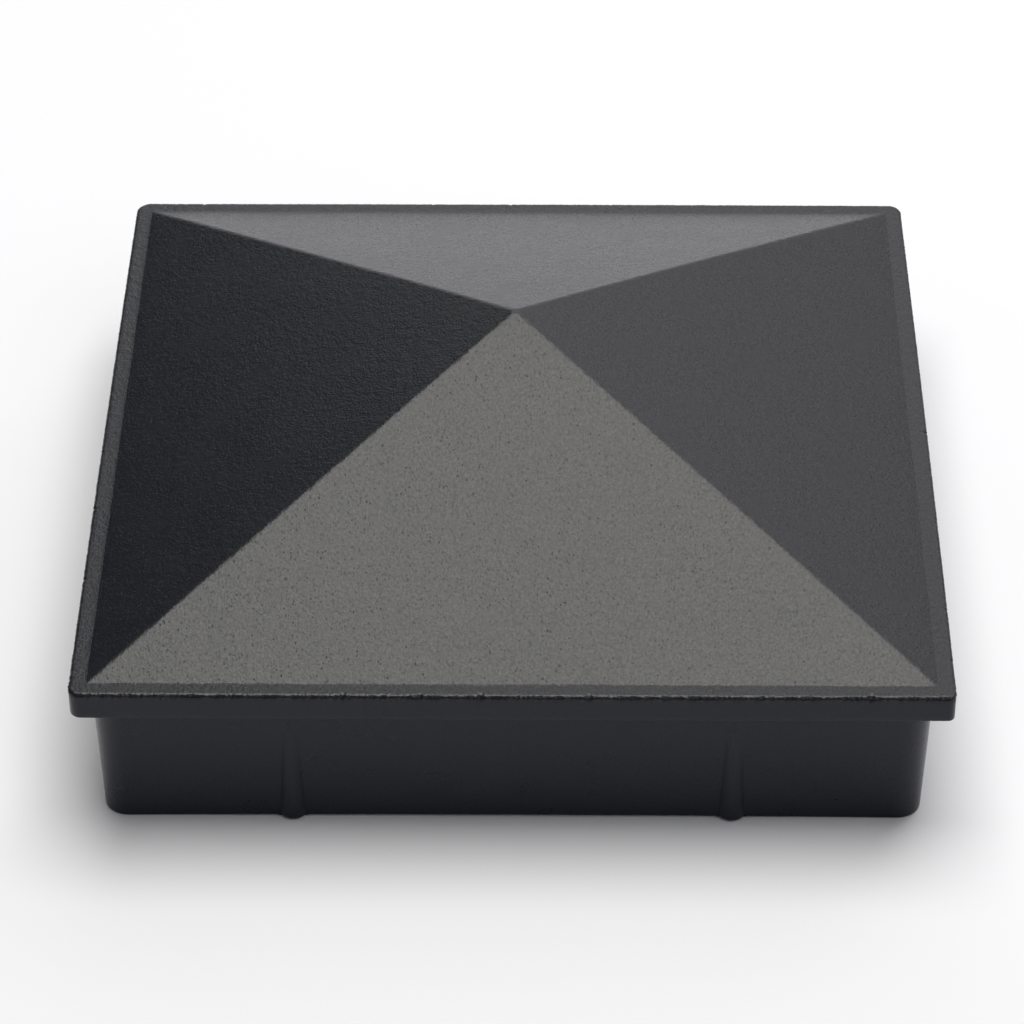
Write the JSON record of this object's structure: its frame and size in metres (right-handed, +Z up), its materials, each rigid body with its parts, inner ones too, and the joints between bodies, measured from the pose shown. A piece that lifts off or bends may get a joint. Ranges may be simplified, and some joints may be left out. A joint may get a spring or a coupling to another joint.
{
  "type": "fence post cap",
  "caption": "Square pyramid cap with a flat rim and a ribbed, drafted plug that pushes into the open end of a hollow square post.",
  "frame": {"origin": "centre of the seat plane: the underside of the rim flange, which rests on the end of the post", "axes": "+Z up along the post, through the top of the pyramid; +X right and +Y back, each square to a side"},
  "size_m": [0.1, 0.1, 0.0382],
  "materials": {
    "coated_cast_face": "satin",
    "coated_smooth_face": "satin"
  },
  "bodies": {
    "root": {"pyramid_roof": "coated_cast_face", "rim_flange": "coated_smooth_face", "plug_skirt": "coated_smooth_face", "crush_rib_front_left": "coated_smooth_face", "crush_rib_front_right": "coated_smooth_face", "crush_rib_right_left": "coated_smooth_face", "crush_rib_right_right": "coated_smooth_face", "crush_rib_back_left": "coated_smooth_face", "crush_rib_back_right": "coated_smooth_face", "crush_rib_left_left": "coated_smooth_face", "crush_rib_left_right": "coated_smooth_face"}
  },
  "joints": []
}
